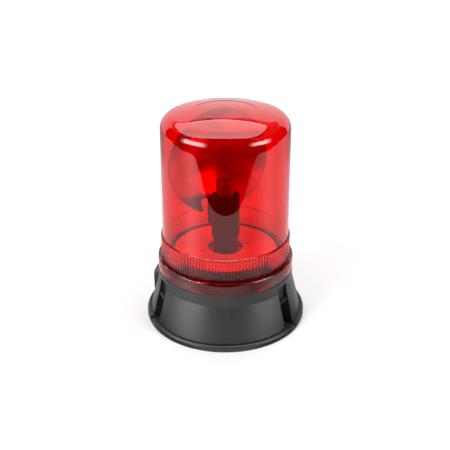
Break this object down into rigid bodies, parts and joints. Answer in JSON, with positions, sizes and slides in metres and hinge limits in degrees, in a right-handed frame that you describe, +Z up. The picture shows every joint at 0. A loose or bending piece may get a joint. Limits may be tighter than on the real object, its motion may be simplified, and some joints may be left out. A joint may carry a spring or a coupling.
{
  "type": "rotating warning beacon",
  "caption": "Rotating warning beacon: red ribbed dome on a flared black base, with a motor-driven parabolic reflector turning round a fixed lamp.",
  "frame": {"origin": "centre of the base's underside, on the beacon's axis", "axes": "+Z up along the beacon's axis, -Y towards the front"},
  "size_m": [0.15, 0.15, 0.1995],
  "materials": {
    "black_abs": "fine moulded texture, satin",
    "red_lens": "clear polished polycarbonate, tinted through",
    "rubber": "matt",
    "pale_deck": "satin moulded, off-white",
    "grey_nylon": "satin moulded",
    "white_nylon": "satin moulded, natural",
    "steel": "zinc plated",
    "brass": "machined",
    "reflector_metal": "vacuum metallised, bright",
    "lamp_glass": "clear quartz",
    "tungsten": "drawn wire",
    "ceramic": "unglazed",
    "lead_insulation": "PVC insulation",
    "terminal_plastic": "moulded polyamide"
  },
  "bodies": {
    "base": {"base_housing": "black_abs", "bottom_cover": "black_abs", "motor_end_cap": "black_abs", "base_gasket": "rubber", "cable_grommet": "rubber", "lens_seal": "rubber", "deck_plate": "pale_deck", "lamp_post": "grey_nylon", "lamp_contacts": "brass", "cover_screws": "steel", "post_screws": "steel", "thrust_washer": "steel", "post_circlip": "steel", "bulb_base": "steel", "lamp_socket": "steel", "motor_body": "steel", "motor_screws": "steel", "idler_axle": "steel", "idler_clip": "steel", "terminal_screws": "steel", "lamp_holder": "ceramic", "lamp_leads": "lead_insulation", "bulb_glass": "lamp_glass", "bulb_filament": "tungsten", "terminal_block": "terminal_plastic"},
    "rotor": {"reflector_carrier": "grey_nylon", "lower_bush": "brass", "upper_bush": "brass", "driven_gear": "white_nylon", "reflector": "reflector_metal", "reflector_rivet": "steel"},
    "idler": {"idler_gear": "white_nylon"},
    "motor_rotor": {"motor_shaft": "steel", "motor_pinion": "brass"},
    "lens": {"lens_dome": "red_lens"}
  },
  "joints": [
    {"name": "rotor_spin", "type": "hinge", "parent": "base", "child": "rotor", "pos_m": [0, 0, 0.1], "axis": [0, 0, 1], "continuous": true},
    {"name": "idler_spin", "type": "hinge", "parent": "base", "child": "idler", "pos_m": [0.01684, 0.02917, 0.056], "axis": [0, 0, 1], "continuous": true},
    {"name": "motor_spin", "type": "hinge", "parent": "base", "child": "motor_rotor", "pos_m": [0.00241, 0.03792, 0.056], "axis": [0, 0, 1], "continuous": true},
    {"name": "lens_lift", "type": "slide", "parent": "base", "child": "lens", "axis": [0, 0, 1], "range_m": [0, 0.148]}
  ],
  "couplings": [
    {"joint": "idler_spin", "follows": "rotor_spin", "ratio": -5},
    {"joint": "motor_spin", "follows": "rotor_spin", "ratio": 12.5}
  ]
}
